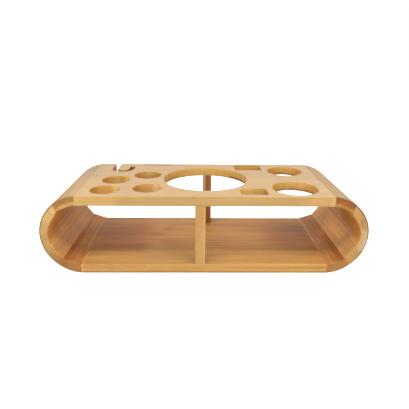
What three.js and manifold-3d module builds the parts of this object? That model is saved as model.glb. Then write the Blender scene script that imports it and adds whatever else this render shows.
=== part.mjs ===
// Tool storage caddy: a long, low bamboo stand with rounded ends.
// A pierced top board and a plain bottom board are joined at each end by three
// glued blocks that turn the corner, and two short posts hold the boards apart.
//
// Frame: millimetres, +Z up, X along the length, Y from front to back. The origin is
// the centre of the footprint on the underside.

import * as THREE from 'three';
import { mergeVertices } from 'three/addons/utils/BufferGeometryUtils.js';
import Module from 'manifold-3d';

// ---------------------------------------------------------------- driving dimensions
const LENGTH = 330; // overall, X
const DEPTH = 130; // overall, Y
const HEIGHT = 83; // overall, Z
const HALF_DEPTH = DEPTH / 2;

const TOP_T = 10; // top board thickness
const TOP_UNDERSIDE = HEIGHT - TOP_T;
const TOP_HALF_LENGTH = 127; // |X| of the top board's end joints
const BOTTOM_T = 10; // bottom board thickness
const BOTTOM_HALF_LENGTH = 126; // |X| of the bottom board's end joints
const GLUE = 0.12; // glue line between neighbouring pieces
const HALF_GLUE = GLUE / 2;
const FIT = 0.15; // clearance round a hidden dowel or spline, per side

// ---------------------------------------------------------------- materials
const wood = ({ name, color, roughness }) =>
  new THREE.MeshStandardMaterial({ name, color, roughness, metalness: 0 });

const MATERIALS = {
  top: wood({ name: 'bamboo_top', color: 0xdcb98d, roughness: 0.5 }),
  bottom: wood({ name: 'bamboo_bottom', color: 0xc08a55, roughness: 0.5 }),
  corner: wood({ name: 'bamboo_corner', color: 0xb27c48, roughness: 0.52 }),
  side: wood({ name: 'bamboo_side', color: 0xc9985f, roughness: 0.52 }),
  post: wood({ name: 'bamboo_post', color: 0xc49a58, roughness: 0.5 }),
  joinery: wood({ name: 'bamboo_joinery', color: 0xd8bd90, roughness: 0.7 }),
};

// ---------------------------------------------------------------- solids and cutting
const wasm = await Module();
wasm.setup();

function toManifold(geometry) {
  // Normals and UVs would keep the vertices along sharp edges from merging.
  const bare = geometry.clone();
  bare.deleteAttribute('normal');
  bare.deleteAttribute('uv');
  const merged = mergeVertices(bare, 1e-4);
  return new wasm.Manifold(new wasm.Mesh({
    numProp: 3,
    vertProperties: Float32Array.from(merged.attributes.position.array),
    triVerts: Uint32Array.from(merged.index.array),
  }));
}

function toGeometry(manifold) {
  const { vertProperties, triVerts } = manifold.getMesh();
  const indexed = new THREE.BufferGeometry();
  indexed.setAttribute(
    'position',
    new THREE.BufferAttribute(Float32Array.from(vertProperties), 3),
  );
  indexed.setIndex(new THREE.BufferAttribute(Uint32Array.from(triVerts), 1));
  const faceted = indexed.toNonIndexed();
  faceted.computeVertexNormals();
  return faceted;
}

function cut(geometry, ...tools) {
  let result = toManifold(geometry);
  for (const tool of tools) result = result.subtract(toManifold(tool));
  return toGeometry(result);
}

const box = (x0, x1, y0, y1, z0, z1) =>
  new THREE.BoxGeometry(x1 - x0, y1 - y0, z1 - z0)
    .translate((x0 + x1) / 2, (y0 + y1) / 2, (z0 + z1) / 2);

// A closed X-Z outline pushed along Y, from -halfDepth to halfDepth.
function slab(outline, halfDepth) {
  let points = outline.map(([x, z]) => new THREE.Vector2(x, z));
  if (THREE.ShapeUtils.area(points) < 0) points = points.reverse();
  const settings = { depth: 2 * halfDepth, bevelEnabled: false };
  return new THREE.ExtrudeGeometry(new THREE.Shape(points), settings)
    .rotateX(Math.PI / 2) // (x, z, depth) -> (x, -depth, z)
    .translate(0, halfDepth, 0);
}

// Points on an arc, both ends included; angles in radians from the first axis.
function arcPoints([centreA, centreB], radius, start, end, segments) {
  const points = [];
  for (let i = 0; i <= segments; i += 1) {
    const angle = start + ((end - start) * i) / segments;
    points.push([centreA + radius * Math.cos(angle), centreB + radius * Math.sin(angle)]);
  }
  return points;
}

const root = new THREE.Group();

function add(name, geometry, material) {
  const mesh = new THREE.Mesh(geometry, material);
  mesh.name = name;
  root.add(mesh);
}

// ---------------------------------------------------------------- splines
const SPLINE_T = 2.6; // thickness
const BOARD_SPLINE_REACH = 7.0; // into each side of a board joint
const BLOCK_SPLINE_REACH = 3.4; // into each side of a block joint
const SPLINE_HALF_LENGTH = 52.0; // along Y, stopped short of the front and back
const TOP_SPLINE_DROP = 0.4; // below the middle of the top board

// Where the splines of the board joints lie, as |X|, Z.
const TOP_BOARD_JOINT = [TOP_HALF_LENGTH, HEIGHT - TOP_T / 2 - TOP_SPLINE_DROP];
const BOTTOM_BOARD_JOINT = [BOTTOM_HALF_LENGTH, BOTTOM_T / 2];

// A flat spline across a board joint, or its groove when grown by the clearance.
function boardSpline(sign, [x, z], grow) {
  const reach = BOARD_SPLINE_REACH + grow;
  const halfLength = SPLINE_HALF_LENGTH + grow;
  const halfT = SPLINE_T / 2 + grow;
  return box(
    sign * x - reach, sign * x + reach,
    -halfLength, halfLength,
    z - halfT, z + halfT,
  );
}

// ---------------------------------------------------------------- posts and dowels
const POST_W = 10.4; // X
const POST_INNER_Y = 45.8; // |Y| of the face towards the middle

const makePost = (name, x, y0, y1) => ({ name, x, y0, y1, y: (y0 + y1) / 2 });
const POSTS = [
  makePost('front_post', -4.9, -HALF_DEPTH, -POST_INNER_Y),
  makePost('rear_post', 4.1, POST_INNER_Y, HALF_DEPTH),
];

const DOWEL_R = 3.0;
const DOWEL_SEGMENTS = 24;
const DOWEL_IN_BOARD = 5.4;
const DOWEL_IN_POST = 12.0;
const HOLE_R = DOWEL_R + FIT;
const HOLE_IN_BOARD = DOWEL_IN_BOARD + FIT;
const HOLE_IN_POST = DOWEL_IN_POST + FIT;
const OVERCUT = 1; // how far a hole's cutter stands past the board face

// A dowel or its hole: a cylinder standing along Z on a post's axis.
const peg = ({ x, y }, z0, z1, radius) =>
  new THREE.CylinderGeometry(radius, radius, z1 - z0, DOWEL_SEGMENTS)
    .rotateX(Math.PI / 2)
    .translate(x, y, (z0 + z1) / 2);

function addPost(post) {
  const { name, x, y0, y1 } = post;
  add(name, cut(
    box(x - POST_W / 2, x + POST_W / 2, y0, y1, BOTTOM_T + GLUE, TOP_UNDERSIDE - GLUE),
    peg(post, TOP_UNDERSIDE - HOLE_IN_POST, TOP_UNDERSIDE + OVERCUT, HOLE_R),
    peg(post, BOTTOM_T - OVERCUT, BOTTOM_T + HOLE_IN_POST, HOLE_R),
  ), MATERIALS.post);
  add(
    `${name}_top_dowel`,
    peg(post, TOP_UNDERSIDE - DOWEL_IN_POST, TOP_UNDERSIDE + DOWEL_IN_BOARD, DOWEL_R),
    MATERIALS.joinery,
  );
  add(
    `${name}_bottom_dowel`,
    peg(post, BOTTOM_T - DOWEL_IN_BOARD, BOTTOM_T + DOWEL_IN_POST, DOWEL_R),
    MATERIALS.joinery,
  );
}

// ---------------------------------------------------------------- top board
// Round holes: x, y, radius, segments.
const ROUND_HOLES = [
  [0.9, 0.5, 46.0, 96], // main opening
  [-101.4, -43.0, 15.0, 48], // front left
  [-96.8, -7.2, 15.0, 48], // middle left
  [-64.4, 13.0, 15.0, 48], // rear of the left group
  [-59.2, -37.4, 15.0, 48], // front, beside the main opening
  [93.4, -35.6, 23.5, 64], // front right
  [95.7, 32.6, 20.4, 64], // rear right
];

// Rectangular slots: x0, x1, y0, y1, corner radius.
const SLOTS = [
  [37.5, 69.4, 36.0, 61.0, 1.5], // rear right
  [35.4, 62.8, -58.0, -37.4, 1.5], // front right
  [-75.0, -41.2, 58.2, 61.7, 1.2], // narrow, rear left
];
const SLOT_CORNER_SEGMENTS = 4;

// Hook-shaped slot, open to the back edge.
const HOOK_HALF_W = 6.0 / 2;
const HOOK_R = 9.85; // centreline radius of the bend
const HOOK_CENTRE = [-96.8, 40.2]; // centre of the bend
const HOOK_END_Y = 49.2; // centre of the rounded blind end

// From the back edge down the right of the entry leg, round the blind end and back out.
function hookOutline() {
  const [x, y] = HOOK_CENTRE;
  const innerR = HOOK_R - HOOK_HALF_W;
  const outerR = HOOK_R + HOOK_HALF_W;
  return [
    [x - innerR, HALF_DEPTH],
    ...arcPoints([x, y], innerR, Math.PI, 2 * Math.PI, 20),
    ...arcPoints([x + HOOK_R, HOOK_END_Y], HOOK_HALF_W, Math.PI, 0, 12),
    ...arcPoints([x, y], outerR, 2 * Math.PI, Math.PI, 28),
    [x - outerR, HALF_DEPTH],
  ];
}

// The full turn's last point repeats the first, so it is dropped.
const roundOutline = ([x, y, radius, segments]) =>
  arcPoints([x, y], radius, 0, 2 * Math.PI, segments).slice(0, -1);

function slotOutline([x0, x1, y0, y1, radius]) {
  const cornerCentres = [
    [x1 - radius, y1 - radius],
    [x0 + radius, y1 - radius],
    [x0 + radius, y0 + radius],
    [x1 - radius, y0 + radius],
  ];
  return cornerCentres.flatMap((centre, quarter) => arcPoints(
    centre,
    radius,
    (quarter * Math.PI) / 2,
    ((quarter + 1) * Math.PI) / 2,
    SLOT_CORNER_SEGMENTS,
  ));
}

function topBoardShape() {
  const endX = TOP_HALF_LENGTH - HALF_GLUE;
  const toVectors = (points) => points.map(([x, y]) => new THREE.Vector2(x, y));
  const shape = new THREE.Shape(toVectors([
    [-endX, -HALF_DEPTH],
    [endX, -HALF_DEPTH],
    [endX, HALF_DEPTH],
    ...hookOutline(),
    [-endX, HALF_DEPTH],
  ]));
  const holes = [...ROUND_HOLES.map(roundOutline), ...SLOTS.map(slotOutline)];
  for (const hole of holes) shape.holes.push(new THREE.Path(toVectors(hole)));
  return shape;
}

function addTopBoard() {
  const blank = new THREE.ExtrudeGeometry(topBoardShape(), { depth: TOP_T, bevelEnabled: false })
    .translate(0, 0, TOP_UNDERSIDE);
  add('top_board', cut(
    blank,
    boardSpline(-1, TOP_BOARD_JOINT, FIT),
    boardSpline(1, TOP_BOARD_JOINT, FIT),
    ...POSTS.map((post) =>
      peg(post, TOP_UNDERSIDE - OVERCUT, TOP_UNDERSIDE + HOLE_IN_BOARD, HOLE_R)),
  ), MATERIALS.top);
}

// ---------------------------------------------------------------- bottom board
function addBottomBoard() {
  const endX = BOTTOM_HALF_LENGTH - HALF_GLUE;
  add('bottom_board', cut(
    box(-endX, endX, -HALF_DEPTH, HALF_DEPTH, 0, BOTTOM_T),
    boardSpline(-1, BOTTOM_BOARD_JOINT, FIT),
    boardSpline(1, BOTTOM_BOARD_JOINT, FIT),
    ...POSTS.map((post) => peg(post, BOTTOM_T - HOLE_IN_BOARD, BOTTOM_T + OVERCUT, HOLE_R)),
  ), MATERIALS.bottom);
}

// ---------------------------------------------------------------- rounded ends
// Outlines are drawn for the right end, as X, Z, and mirrored for the left.
const END_R = HEIGHT / 2; // outer radius
const END_CENTRE = [LENGTH / 2 - END_R, HEIGHT / 2];
const UPPER_JOINT_X = 148.0; // where the block joints meet the outer arc
const LOWER_JOINT_X = 149.2;
const ARC_SETBACK = 1.2; // from a board joint to the first point on the outer arc
const TOP_EDGE_DROP = 0.08; // top corner block's edge at the joint, below the top
const BOTTOM_EDGE_RISE = 0.05; // bottom corner block's edge at the joint, above z = 0
const CORNER_ARC_SEGMENTS = 12;
const SIDE_ARC_SEGMENTS = 34;

// Inner face of an end, X, Z, from the bottom board round to the top board.
const LOWER_CREASE = [143.7, 16.1];
const SIDE_INNER = [
  [147.0, 21.1], [149.1, 23.7], [150.9, 26.5], [153.2, 30.5], [154.8, 34.3],
  [155.9, 38.1], [156.3, 41.7], [155.9, 45.3], [154.8, 49.1], [153.2, 52.9],
  [150.9, 57.1], [149.1, 59.7], [147.1, 62.5],
];
const UPPER_CREASE = [145.2, 66.4];
const CEILING = [[139.2, 69.3], [133.2, 71.7]];

// Angles on the outer arc at a given X, above and below its centre.
const upperAngle = (x) => Math.acos((x - END_CENTRE[0]) / END_R);
const lowerAngle = (x) => -upperAngle(x);
const outerArc = (start, end, segments) => arcPoints(END_CENTRE, END_R, start, end, segments);

// A joint between two blocks, from the outer arc in to a crease.
// Its unit normal points down, from the upper block to the lower one.
function blockJoint(angle, inner) {
  const outer = [
    END_CENTRE[0] + END_R * Math.cos(angle),
    END_CENTRE[1] + END_R * Math.sin(angle),
  ];
  const dx = inner[0] - outer[0];
  const dz = inner[1] - outer[1];
  const length = Math.hypot(dx, dz);
  return {
    angle,
    outer,
    inner,
    middle: [(outer[0] + inner[0]) / 2, (outer[1] + inner[1]) / 2],
    along: [dx / length, dz / length],
    normal: [-dz / length, dx / length],
  };
}
const UPPER_JOINT = blockJoint(upperAngle(UPPER_JOINT_X), UPPER_CREASE);
const LOWER_JOINT = blockJoint(lowerAngle(LOWER_JOINT_X), LOWER_CREASE);

// Outer and inner points of a block's glued face, offset along the joint's normal.
const jointFace = ({ outer, inner, normal }, offset) =>
  [outer, inner].map(([x, z]) => [x + normal[0] * offset, z + normal[1] * offset]);

function topCornerOutline() {
  const arcStart = upperAngle(TOP_HALF_LENGTH + ARC_SETBACK);
  return [
    [TOP_HALF_LENGTH + HALF_GLUE, HEIGHT - TOP_EDGE_DROP],
    ...outerArc(arcStart, UPPER_JOINT.angle, CORNER_ARC_SEGMENTS).slice(0, -1),
    ...jointFace(UPPER_JOINT, -HALF_GLUE),
    ...CEILING,
    [TOP_HALF_LENGTH + HALF_GLUE, TOP_UNDERSIDE],
  ];
}

function sideOutline() {
  const [upperOuter, upperInner] = jointFace(UPPER_JOINT, HALF_GLUE);
  return [
    upperOuter,
    ...outerArc(UPPER_JOINT.angle, LOWER_JOINT.angle, SIDE_ARC_SEGMENTS).slice(1, -1),
    ...jointFace(LOWER_JOINT, -HALF_GLUE),
    ...SIDE_INNER,
    upperInner,
  ];
}

function bottomCornerOutline() {
  const [lowerOuter, lowerInner] = jointFace(LOWER_JOINT, HALF_GLUE);
  const arcEnd = lowerAngle(BOTTOM_HALF_LENGTH + ARC_SETBACK);
  return [
    [BOTTOM_HALF_LENGTH + HALF_GLUE, BOTTOM_T],
    lowerInner,
    lowerOuter,
    ...outerArc(LOWER_JOINT.angle, arcEnd, CORNER_ARC_SEGMENTS).slice(1),
    [BOTTOM_HALF_LENGTH + HALF_GLUE, BOTTOM_EDGE_RISE],
  ];
}

const mirrored = (outline, sign) => outline.map(([x, z]) => [x * sign, z]);

// A spline across a block joint, or its groove when grown by the clearance.
function blockSpline(sign, { middle, along, normal }, grow) {
  const reach = BLOCK_SPLINE_REACH + grow;
  const halfT = SPLINE_T / 2 + grow;
  const corners = [[-reach, -halfT], [reach, -halfT], [reach, halfT], [-reach, halfT]];
  const outline = corners.map(([across, inward]) => [
    middle[0] + normal[0] * across + along[0] * inward,
    middle[1] + normal[1] * across + along[1] * inward,
  ]);
  return slab(mirrored(outline, sign), SPLINE_HALF_LENGTH + grow);
}

function addEnd(side, sign) {
  const block = (outline, ...grooves) =>
    cut(slab(mirrored(outline, sign), HALF_DEPTH), ...grooves);
  const upperGroove = blockSpline(sign, UPPER_JOINT, FIT);
  const lowerGroove = blockSpline(sign, LOWER_JOINT, FIT);

  add(
    `${side}_top_corner_block`,
    block(topCornerOutline(), boardSpline(sign, TOP_BOARD_JOINT, FIT), upperGroove),
    MATERIALS.corner,
  );
  add(`${side}_side_block`, block(sideOutline(), upperGroove, lowerGroove), MATERIALS.side);
  add(
    `${side}_bottom_corner_block`,
    block(bottomCornerOutline(), boardSpline(sign, BOTTOM_BOARD_JOINT, FIT), lowerGroove),
    MATERIALS.corner,
  );

  const splines = {
    top_board: boardSpline(sign, TOP_BOARD_JOINT, 0),
    bottom_board: boardSpline(sign, BOTTOM_BOARD_JOINT, 0),
    upper_block: blockSpline(sign, UPPER_JOINT, 0),
    lower_block: blockSpline(sign, LOWER_JOINT, 0),
  };
  for (const [place, geometry] of Object.entries(splines)) {
    add(`${side}_${place}_spline`, geometry, MATERIALS.joinery);
  }
}

// ---------------------------------------------------------------- assembly
addTopBoard();
addBottomBoard();
addEnd('left', -1);
addEnd('right', 1);
POSTS.forEach(addPost);

export default root;
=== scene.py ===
# Bamboo tool storage caddy: two boards joined by rounded ends, with two posts between them,
# in procedural bamboo in a plain studio. It stands on Z = 0, long along X; left is -X, front is -Y.
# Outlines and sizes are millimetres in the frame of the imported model; meshes are in metres.

import math

import bpy
import numpy as np
from mathutils import Matrix, Vector
from mathutils.geometry import delaunay_2d_cdt


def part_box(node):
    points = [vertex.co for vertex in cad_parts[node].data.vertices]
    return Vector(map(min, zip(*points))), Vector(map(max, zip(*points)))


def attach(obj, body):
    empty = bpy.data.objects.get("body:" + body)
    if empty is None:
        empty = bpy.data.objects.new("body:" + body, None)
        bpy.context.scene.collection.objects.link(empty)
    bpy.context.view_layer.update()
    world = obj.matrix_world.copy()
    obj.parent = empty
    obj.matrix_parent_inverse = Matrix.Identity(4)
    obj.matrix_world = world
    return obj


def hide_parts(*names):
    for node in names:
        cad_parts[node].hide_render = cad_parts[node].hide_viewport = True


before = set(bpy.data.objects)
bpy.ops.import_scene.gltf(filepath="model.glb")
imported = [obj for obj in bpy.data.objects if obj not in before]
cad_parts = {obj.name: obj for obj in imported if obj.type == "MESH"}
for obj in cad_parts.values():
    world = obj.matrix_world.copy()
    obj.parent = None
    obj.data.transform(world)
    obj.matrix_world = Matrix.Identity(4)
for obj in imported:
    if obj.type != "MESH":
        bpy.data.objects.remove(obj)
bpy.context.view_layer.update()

MM = 0.001
PI = math.pi


def packed_box(node):
    low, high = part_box(node)
    return [c / MM for c in low], [c / MM for c in high]


# ------------------------------------------------------------------ main sizes
TOP_LOW, TOP_HIGH = packed_box("top_board")
BOTTOM_HIGH = packed_box("bottom_board")[1]
HALF_DEPTH = TOP_HIGH[1]
HEIGHT = TOP_HIGH[2]
TOP_UNDERSIDE = TOP_LOW[2]
BOTTOM_T = BOTTOM_HIGH[2]
HALF_LENGTH = 165.0
GAP = 0.03  # half the visible glue line between two glued pieces
JOINT_SHIFT = 0.06  # from a packed board's end to the middle of its joint
TOP_JOINT = TOP_HIGH[0] + JOINT_SHIFT
BOTTOM_JOINT = BOTTOM_HIGH[0] + JOINT_SHIFT
END_R = HEIGHT / 2
END_CX = HALF_LENGTH - END_R
END_CZ = HEIGHT / 2

# ------------------------------------------------------------------ plan of the top board
# x, y, radius, points round the hole
ROUND_HOLES = [
    (0.9, 0.5, 46.0, 160),
    (-101.4, -43.0, 15.0, 80),
    (-96.8, -7.2, 15.0, 80),
    (-64.4, 13.0, 15.0, 80),
    (-59.2, -37.4, 15.0, 80),
    (93.4, -35.6, 23.5, 104),
    (95.7, 32.6, 20.4, 96),
]
# x from, x to, y from, y to, corner radius
SLOTS = [
    (37.5, 69.4, 36.0, 61.0, 1.5),
    (35.4, 62.8, -58.0, -37.4, 1.5),
    (-75.0, -41.2, 58.2, 61.7, 1.2),
]
# hook-shaped slot, open at the back edge; the radius is to the middle of the slot
HOOK_W, HOOK_R, HOOK_CENTRE, HOOK_END_Y = 6.0, 9.85, (-96.8, 40.2), 49.2

# ------------------------------------------------------------------ profile of the ends, |x| and z
LOWER_CREASE = (143.7, 16.1)
SIDE_INNER = [
    (147.0, 21.1), (149.1, 23.7), (150.9, 26.5), (153.2, 30.5), (154.8, 34.3),
    (155.9, 38.1), (156.3, 41.7), (155.9, 45.3), (154.8, 49.1), (153.2, 52.9),
    (150.9, 57.1), (149.1, 59.7), (147.1, 62.5),
]
UPPER_CREASE = (145.2, 66.4)
CEILING = [(139.2, 69.3), (133.2, 71.7), (127.0, 73.0)]
UPPER_JOINT_X, LOWER_JOINT_X = 148.0, 149.2  # where the joints reach the outer arc

# share of the edge rounding kept where a face is glued to its neighbour
BOARD_SHARE = 0.05
END_SHARE = 0.02
END_ROUNDING = 2.0

PLAY = 0.15  # room round a hidden spline or dowel
SPLINE_REACH, SPLINE_T, SPLINE_HALF_LENGTH = 3.4, 2.6, 52.0  # splines between the end blocks
SPLINE_CORNER = 0.35
SMOOTH_ANGLE = math.radians(33)


# ------------------------------------------------------------------ outlines
def arc(cx, cy, radius, start, end, n):
    angles = [start + (end - start) * i / n for i in range(n + 1)]
    return [(cx + radius * math.cos(t), cy + radius * math.sin(t)) for t in angles]


def circle(cx, cy, radius, n):
    angles = [2 * PI * i / n for i in range(n)]
    return [(cx + radius * math.cos(t), cy + radius * math.sin(t)) for t in angles]


def rectangle(x0, x1, y0, y1, radius=0.0, n=5):
    if radius <= 0:
        return [(x0, y0), (x1, y0), (x1, y1), (x0, y1)]
    return (arc(x1 - radius, y0 + radius, radius, -PI / 2, 0, n)
            + arc(x1 - radius, y1 - radius, radius, 0, PI / 2, n)
            + arc(x0 + radius, y1 - radius, radius, PI / 2, PI, n)
            + arc(x0 + radius, y0 + radius, radius, PI, 1.5 * PI, n))


def eased(points, radius, n=3):
    """A convex outline with its right-angled corners rounded."""
    out = []
    for i, corner in enumerate(points):
        corner = Vector(corner)
        to_last = (Vector(points[i - 1]) - corner).normalized()
        to_next = (Vector(points[(i + 1) % len(points)]) - corner).normalized()
        centre = corner + (to_last + to_next) * radius
        for k in range(n + 1):
            t = PI / 2 * k / n
            p = centre - to_next * (radius * math.cos(t)) - to_last * (radius * math.sin(t))
            out.append((p.x, p.y))
    return out


def loop(points, shares=None, longest=None):
    """A closed outline with its material on the left, and a rounding share for each edge."""
    shares = shares or [1.0] * len(points)
    out, out_shares = [], []
    for i, (p, share) in enumerate(zip(points, shares)):
        q = points[(i + 1) % len(points)]
        length = math.dist(p, q)
        if length < 1e-5:
            continue
        n = max(1, math.ceil(length / longest)) if longest else 1
        for k in range(n):
            out.append((p[0] + (q[0] - p[0]) * k / n, p[1] + (q[1] - p[1]) * k / n))
            out_shares.append(share)
    return out, out_shares


def area(points):
    return 0.5 * sum(points[i - 1][0] * p[1] - p[0] * points[i - 1][1] for i, p in enumerate(points))


def turned(points, shares):
    """The outline run the other way, each edge keeping its share."""
    n = len(points)
    return points[::-1], [shares[(n - 2 - i) % n] for i in range(n)]


def inset(points, shares, distance):
    out = []
    n = len(points)
    for i in range(n):
        last, here, following = Vector(points[i - 1]), Vector(points[i]), Vector(points[(i + 1) % n])
        e0, e1 = (here - last).normalized(), (following - here).normalized()
        n0, n1 = Vector((-e0.y, e0.x)), Vector((-e1.y, e1.x))
        a, b = distance * shares[i - 1], distance * shares[i]
        c = n0.dot(n1)
        if abs(a - b) < 1e-9:
            move = (n0 + n1) * (a / (1 + c))
        elif 1 - c * c < 0.03:  # nearly straight
            move = (n0 + n1).normalized() * (a + b) / 2
        else:
            move = (n0 * (a - b * c) + n1 * (b - a * c)) / (1 - c * c)
        out.append((here.x + move.x, here.y + move.y))
    return out


def drawn_in(points, distance, centre, radius):
    """Scaled towards the centre, for fluted rounds whose ribs are too tight to inset."""
    q = 1 - distance / radius
    return [(centre[0] + (x - centre[0]) * q, centre[1] + (y - centre[1]) * q) for x, y in points]


def inside(px, py, outlines):
    """Even-odd test of many points against several outlines."""
    hit = np.zeros(len(px), bool)
    for outline in outlines:
        a = np.array(outline)
        b = np.roll(a, -1, axis=0)
        for (x0, y0), (x1, y1) in zip(a, b):
            if y0 == y1:
                continue
            spans = (y0 > py) != (y1 > py)
            x = x0 + (py - y0) * (x1 - x0) / (y1 - y0)
            hit ^= spans & (px < x)
    return hit


# ------------------------------------------------------------------ prisms with rounded rims
def rim_rings(low, high, low_radius, high_radius, segments, hold, step):
    """Inset, height and edge value of every ring; the edge value marks the arrises."""
    turns = [PI / 2 * i / segments for i in range(segments + 1)]
    rings = [(low_radius + hold, low, 0.0)]
    for t in turns:
        rings.append((low_radius * (1 - math.sin(t)), low + low_radius * (1 - math.cos(t)),
                      0.3 + 0.7 * math.sin(2 * t)))
    start, end = low + low_radius + hold, high - high_radius - hold
    cuts = max(1, round((end - start) / step))
    rings += [(0.0, start + (end - start) * i / cuts, 0.0) for i in range(cuts + 1)]
    for t in turns:
        rings.append((high_radius * (1 - math.cos(t)), high - high_radius * (1 - math.sin(t)),
                      0.3 + 0.7 * math.sin(2 * t)))
    return rings + [(high_radius + hold, high, 0.0)]


def cap_points(outlines, spacing):
    """A staggered grid inside the outlines, kept clear of their edges."""
    a = np.array([p for outline in outlines for p in outline])
    x, y = np.meshgrid(np.arange(a[:, 0].min(), a[:, 0].max(), spacing),
                       np.arange(a[:, 1].min(), a[:, 1].max(), spacing * 0.866))
    x = x + (np.arange(x.shape[0]) % 2)[:, None] * spacing / 2
    x, y = x.ravel() + 0.137, y.ravel() + 0.219  # off any line of the outline
    keep = inside(x, y, outlines)
    x, y = x[keep], y[keep]
    nearest = np.full(len(x), 1e9)
    for outline in outlines:
        starts = np.array(outline)
        for start, end in zip(starts, np.roll(starts, -1, axis=0)):
            d = end - start
            t = np.clip(((x - start[0]) * d[0] + (y - start[1]) * d[1]) / max(d @ d, 1e-9), 0, 1)
            nearest = np.minimum(nearest, np.hypot(x - start[0] - t * d[0], y - start[1] - t * d[1]))
    clear = nearest > spacing * 0.42
    return list(zip(x[clear].tolist(), y[clear].tolist()))


def cap_mesh(outlines, spacing):
    """Points, the input point each came from, and anticlockwise triangles of a cap."""
    flat, lines = [], []
    for outline in outlines:
        first, n = len(flat), len(outline)
        flat += outline
        lines += [(first + i, first + (i + 1) % n) for i in range(n)]
    wanted = [Vector(p) for p in flat + cap_points(outlines, spacing)]
    points, _, triangles, origins, _, _ = delaunay_2d_cdt(wanted, lines, [], 0, 1e-7)
    centres = np.array([[sum(points[i].x for i in t) / 3, sum(points[i].y for i in t) / 3]
                        for t in triangles])
    kept = []
    for triangle, keep in zip(triangles, inside(centres[:, 0], centres[:, 1], outlines)):
        a, b, c = [points[i] for i in triangle]
        turn = (b - a).cross(c - a)
        # a sliver lies outside a straight run of the outline
        if keep and abs(turn) >= 1e-4:
            kept.append(list(triangle) if turn > 0 else list(triangle)[::-1])
    return points, [origin[0] if origin else None for origin in origins], kept


def shade(mesh):
    mesh.polygons.foreach_set("use_smooth", [True] * len(mesh.polygons))
    mesh.set_sharp_from_angle(angle=SMOOTH_ANGLE)


def prism(name, loops, low, high, low_radius, high_radius, plane="XY",
          segments=5, hold=0.45, step=12.0, grid=7.0, fluted=None):
    """Outlines pushed along +Z, or along -Y from the XZ plane, with every rim rounded over.

    hold is the distance from a rounding to the ring that guards it, step the spacing of the rings
    between, grid the spacing of points in the caps; fluted is a fluted round's centre and radius.
    """
    rings = rim_rings(low, high, low_radius, high_radius, segments, hold, step)
    place = (lambda u, v, w: (u, v, w)) if plane == "XY" else (lambda u, v, w: (u, -w, v))
    verts, edge, faces = [], [], []
    caps = {0: [], len(rings) - 1: []}
    for points, shares in loops:
        n, start = len(points), len(verts)
        for level, (distance, height, value) in enumerate(rings):
            ring = drawn_in(points, distance, *fluted) if fluted else inset(points, shares, distance)
            if level in caps:
                caps[level].append((ring, len(verts)))
            verts += [place(u, v, height) for u, v in ring]
            edge += [value] * n
        for level in range(len(rings) - 1):
            for i in range(n):
                a, b = start + level * n + i, start + level * n + (i + 1) % n
                faces.append((a, b, b + n, a + n))
    for level, outlines in caps.items():
        rim = [first + i for ring, first in outlines for i in range(len(ring))]
        points, origins, triangles = cap_mesh([ring for ring, _ in outlines], grid)
        index = []
        for point, origin in zip(points, origins):
            if origin is not None and origin < len(rim):
                index.append(rim[origin])
            else:
                index.append(len(verts))
                verts.append(place(point.x, point.y, rings[level][1]))
                edge.append(0.0)
        for triangle in triangles:
            face = [index[i] for i in triangle]
            faces.append(tuple(face[::-1] if level == 0 else face))
    mesh = bpy.data.meshes.new(name)
    mesh.from_pydata([tuple(c * MM for c in v) for v in verts], [], faces)
    layer = mesh.attributes.new("edge", "FLOAT", "POINT")
    layer.data.foreach_set("value", np.array(edge, np.float32))
    mesh.validate()
    shade(mesh)
    piece = bpy.data.objects.new(name, mesh)
    bpy.context.scene.collection.objects.link(piece)
    return piece


def carve(piece, cutters):
    """Cuts hidden grooves and sockets with solids that are then thrown away."""
    for tool in cutters:
        cut = piece.modifiers.new("cut", "BOOLEAN")
        cut.operation, cut.solver, cut.object = "DIFFERENCE", "EXACT", tool
        graph = bpy.context.evaluated_depsgraph_get()
        mesh = bpy.data.meshes.new_from_object(
            piece.evaluated_get(graph), preserve_all_data_layers=True, depsgraph=graph)
        piece.modifiers.clear()
        old, piece.data = piece.data, mesh
        bpy.data.meshes.remove(old)
        mesh.name = piece.name
    for tool in cutters:
        bpy.data.objects.remove(tool)
    shade(piece.data)


def finish_piece(piece, material, node):
    piece.data.materials.clear()
    piece.data.materials.append(MATERIALS[material])
    normals = piece.modifiers.new("weighted_normals", "WEIGHTED_NORMAL")
    normals.keep_sharp, normals.weight, normals.mode = True, 50, "FACE_AREA"
    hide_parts(node)
    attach(piece, "root")


# ------------------------------------------------------------------ node helpers
class Value:
    """A node's output; arithmetic on it adds math nodes."""

    def __init__(self, graph, socket):
        self.graph, self.socket = graph, socket

    def __add__(self, other):
        return self.graph.math("ADD", self, other)

    def __radd__(self, other):
        return self.graph.math("ADD", other, self)

    def __sub__(self, other):
        return self.graph.math("SUBTRACT", self, other)

    def __rsub__(self, other):
        return self.graph.math("SUBTRACT", other, self)

    def __mul__(self, other):
        return self.graph.math("MULTIPLY", self, other)

    def __rmul__(self, other):
        return self.graph.math("MULTIPLY", other, self)

    def __truediv__(self, other):
        return self.graph.math("DIVIDE", self, other)

    def __abs__(self):
        return self.graph.math("ABSOLUTE", self)


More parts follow.
